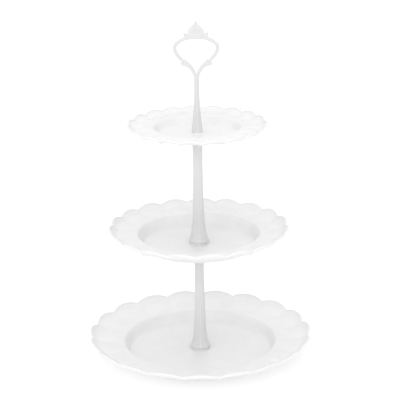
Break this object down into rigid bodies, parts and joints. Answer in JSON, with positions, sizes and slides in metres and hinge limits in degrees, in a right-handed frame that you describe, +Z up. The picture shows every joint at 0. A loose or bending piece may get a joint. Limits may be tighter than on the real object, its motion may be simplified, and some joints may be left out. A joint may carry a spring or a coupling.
{
  "type": "three-tier cake stand",
  "caption": "Tiered dessert stand: round scalloped dishes on a fluted screw-together column with a crowned carrying loop.",
  "frame": {"origin": "centre of the foot ring, on the table, on the axis of the column", "axes": "+Z up along the column, +X to the right and +Y to the back when the loop is seen from the front"},
  "size_m": [0.2504, 0.2499, 0.3811],
  "materials": {
    "dish_plastic": "white, glossy, moulded",
    "column_plastic": "white, glossy, moulded",
    "nut_plastic": "white, satin, moulded",
    "stud_steel": "zinc plated",
    "insert_brass": "turned",
    "washer_rubber": "soft, translucent white"
  },
  "bodies": {
    "bottom_dish": {"plate_large": "dish_plastic"},
    "lower_column": {"rod_lower": "column_plastic", "plug_lower": "nut_plastic", "stud_lower": "stud_steel", "insert_lower": "insert_brass", "washer_lower": "washer_rubber"},
    "base_washer": {"washer_base": "washer_rubber"},
    "hand_nut": {"base_nut": "nut_plastic", "nut_insert": "insert_brass"},
    "middle_dish": {"plate_medium": "dish_plastic"},
    "middle_washer": {"washer_middle": "washer_rubber"},
    "middle_column": {"rod_middle": "column_plastic", "plug_middle": "nut_plastic", "stud_middle": "stud_steel", "insert_middle": "insert_brass"},
    "top_dish": {"plate_small": "dish_plastic"},
    "upper_washer": {"washer_upper": "washer_rubber"},
    "handle": {"rod_upper": "column_plastic", "crown_handle": "column_plastic", "stud_upper": "stud_steel"}
  },
  "joints": [
    {"name": "lower_column_turn", "type": "hinge", "parent": "bottom_dish", "child": "lower_column", "pos_m": [0, 0, 0.0095], "axis": [0, 0, 1], "continuous": true},
    {"name": "nut_drop", "type": "slide", "parent": "lower_column", "child": "base_washer", "axis": [0, 0, -1], "range_m": [0, 0.0008]},
    {"name": "nut_turn", "type": "hinge", "parent": "base_washer", "child": "hand_nut", "pos_m": [0, 0, 0.003], "axis": [0, 0, -1], "range_deg": [0, 360]},
    {"name": "medium_dish_turn", "type": "hinge", "parent": "lower_column", "child": "middle_dish", "pos_m": [0, 0, 0.1354], "axis": [0, 0, 1], "continuous": true},
    {"name": "middle_column_lift", "type": "slide", "parent": "lower_column", "child": "middle_washer", "axis": [0, 0, 1], "range_m": [0, 0.0088]},
    {"name": "middle_column_turn", "type": "hinge", "parent": "middle_washer", "child": "middle_column", "pos_m": [0, 0, 0.1354], "axis": [0, 0, 1], "range_deg": [0, 3960]},
    {"name": "small_dish_turn", "type": "hinge", "parent": "middle_column", "child": "top_dish", "pos_m": [0, 0, 0.2605], "axis": [0, 0, 1], "continuous": true},
    {"name": "handle_lift", "type": "slide", "parent": "middle_column", "child": "upper_washer", "axis": [0, 0, 1], "range_m": [0, 0.0096]},
    {"name": "handle_turn", "type": "hinge", "parent": "upper_washer", "child": "handle", "pos_m": [0, 0, 0.2605], "axis": [0, 0, 1], "range_deg": [0, 4320]}
  ],
  "couplings": [
    {"joint": "nut_turn", "follows": "nut_drop", "rad_per_m": 7854},
    {"joint": "middle_column_turn", "follows": "middle_column_lift", "rad_per_m": 7854},
    {"joint": "handle_turn", "follows": "handle_lift", "rad_per_m": 7854}
  ]
}
